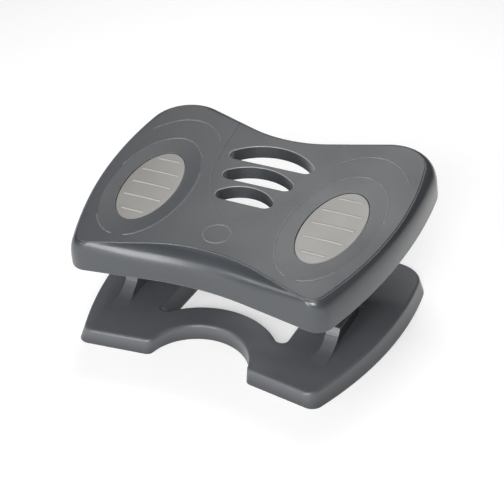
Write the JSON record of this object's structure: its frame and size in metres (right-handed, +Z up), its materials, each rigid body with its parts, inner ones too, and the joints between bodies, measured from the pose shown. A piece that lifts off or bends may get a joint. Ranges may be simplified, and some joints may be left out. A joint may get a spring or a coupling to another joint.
{
  "type": "adjustable footrest",
  "caption": "Under-desk footrest: bow-tie platform with oval grip pads and crescent slots, tilting on legs that slide in an arched base.",
  "frame": {"origin": "floor level under the middle of the object's box", "axes": "+X to the right across the platform, +Y to the rear, +Z up"},
  "size_m": [0.449, 0.3612, 0.2111],
  "materials": {
    "base_grey": "fine matte moulded plastic",
    "plate_grey": "fine matte moulded plastic",
    "black_plastic": "matte black moulded plastic",
    "washer_plastic": "natural bearing plastic",
    "pad_rubber": "soft beige-grey rubber",
    "foot_rubber": "black rubber",
    "spring_steel": "spring steel",
    "axle_steel": "zinc-plated steel"
  },
  "bodies": {
    "base": {"base_shell": "base_grey", "left_tower_cover": "black_plastic", "right_tower_cover": "black_plastic", "left_detent_leaf": "spring_steel", "right_detent_leaf": "spring_steel", "left_front_foot": "foot_rubber", "right_front_foot": "foot_rubber", "left_rear_foot": "foot_rubber", "right_rear_foot": "foot_rubber"},
    "lift": {"left_leg": "black_plastic", "right_leg": "black_plastic", "axle": "axle_steel", "left_friction_washer": "washer_plastic", "right_friction_washer": "washer_plastic", "left_spring_washer": "spring_steel", "right_spring_washer": "spring_steel", "left_lock_nut": "axle_steel", "right_lock_nut": "axle_steel", "left_stop_pin": "axle_steel", "right_stop_pin": "axle_steel"},
    "platform": {"foot_plate": "plate_grey", "left_pad": "pad_rubber", "right_pad": "pad_rubber", "left_hinge_bracket": "black_plastic", "right_hinge_bracket": "black_plastic", "left_axle_bush": "washer_plastic", "right_axle_bush": "washer_plastic", "bracket_screws": "axle_steel"}
  },
  "joints": [
    {"name": "height_slide", "type": "slide", "parent": "base", "child": "lift", "axis": [0, 0, 1], "range_m": [-0.024, 0]},
    {"name": "tilt_hinge", "type": "hinge", "parent": "lift", "child": "platform", "pos_m": [0, -0.0348, 0.142], "axis": [1, 0, 0], "range_deg": [-8.84, 11.16]}
  ]
}
